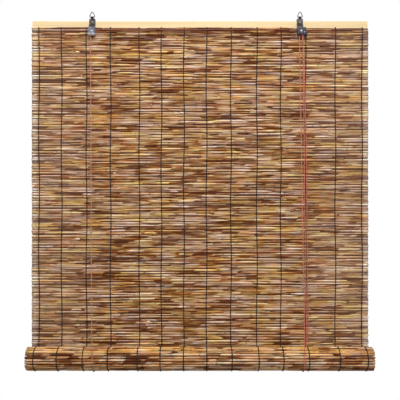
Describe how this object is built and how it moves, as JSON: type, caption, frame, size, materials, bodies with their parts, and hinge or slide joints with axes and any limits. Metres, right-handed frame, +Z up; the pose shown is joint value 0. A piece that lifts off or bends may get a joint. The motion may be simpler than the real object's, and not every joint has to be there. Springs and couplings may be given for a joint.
{
  "type": "bamboo roll-up blind",
  "caption": "Bamboo roll-up blind with a pale head rail, dark binding threads, steel strap hangers with wire rings, red lift cords and a rolled lower end",
  "frame": {"origin": "centre of the head rail's back face, which lies against the wall", "axes": "X across the blind to the right as seen from the room, Y from the room to the wall, Z up"},
  "size_m": [0.908, 0.0813, 0.9556],
  "materials": {
    "pale_wood": "planed bare softwood, matt",
    "reed": "split and whole bamboo reeds, brown mottled skin, satin",
    "thread": "twisted dark brown cotton thread",
    "strap_steel": "zinc-plated sheet steel",
    "bright_steel": "bright plated steel",
    "cord": "braided cotton cord, faded red"
  },
  "bodies": {
    "frame": {"headrail": "pale_wood", "reed_mat": "reed", "mat_threads": "thread", "mat_staples": "bright_steel", "left_hanger": "strap_steel", "right_hanger": "strap_steel", "left_screw": "bright_steel", "right_screw": "bright_steel", "left_axle": "bright_steel", "right_axle": "bright_steel", "left_lift_cord": "cord", "right_lift_cord": "cord", "left_back_cord": "cord", "right_back_cord": "cord", "crossing_cord": "cord", "lock_cord_bend": "cord", "pull_cord_front": "cord", "pull_cord_rear": "cord", "left_stop_knot": "cord", "right_stop_knot": "cord"},
    "slings": {"left_sling": "cord", "right_sling": "cord", "pull_knot": "cord"},
    "roll": {"reed_roll": "reed", "roll_threads": "thread", "bottom_rod": "pale_wood"},
    "left_ring_body": {"left_ring": "bright_steel"},
    "right_ring_body": {"right_ring": "bright_steel"},
    "left_wheel_body": {"left_wheel": "bright_steel"},
    "right_wheel_body": {"right_wheel": "bright_steel"},
    "roller_body": {"lock_roller": "bright_steel"}
  },
  "joints": [
    {"name": "roll_lift", "type": "slide", "parent": "frame", "child": "slings", "axis": [0, 0, 1], "range_m": [0, 0.7439], "deforming": ["reed_mat", "mat_threads", "left_lift_cord", "right_lift_cord", "left_back_cord", "right_back_cord", "pull_cord_front", "pull_cord_rear"]},
    {"name": "roll_turn", "type": "hinge", "parent": "slings", "child": "roll", "pos_m": [0, -0.0459, -0.881], "axis": [1, 0, 0], "range_deg": [-1440, 0]},
    {"name": "left_wheel_spin", "type": "hinge", "parent": "frame", "child": "left_wheel_body", "pos_m": [-0.2878, -0.0241, -0.0165], "axis": [0, 1, 0], "continuous": true},
    {"name": "right_wheel_spin", "type": "hinge", "parent": "frame", "child": "right_wheel_body", "pos_m": [0.2692, -0.0258, -0.0165], "axis": [0, 1, 0], "continuous": true},
    {"name": "lock_roller_slide", "type": "slide", "parent": "frame", "child": "roller_body", "axis": [0.5736, 0, -0.8192], "range_m": [0, 0.0035]},
    {"name": "left_ring_swing", "type": "hinge", "parent": "frame", "child": "left_ring_body", "pos_m": [-0.289, -0.01438, 0.02398], "axis": [1, 0, 0], "range_deg": [-65, 155]},
    {"name": "right_ring_swing", "type": "hinge", "parent": "frame", "child": "right_ring_body", "pos_m": [0.268, -0.01438, 0.02398], "axis": [1, 0, 0], "range_deg": [-65, 155]}
  ],
  "couplings": [
    {"joint": "roll_turn", "follows": "roll_lift", "rad_per_m": -33.784},
    {"joint": "left_wheel_spin", "follows": "roll_lift", "rad_per_m": 476.19},
    {"joint": "right_wheel_spin", "follows": "roll_lift", "rad_per_m": 476.19}
  ]
}
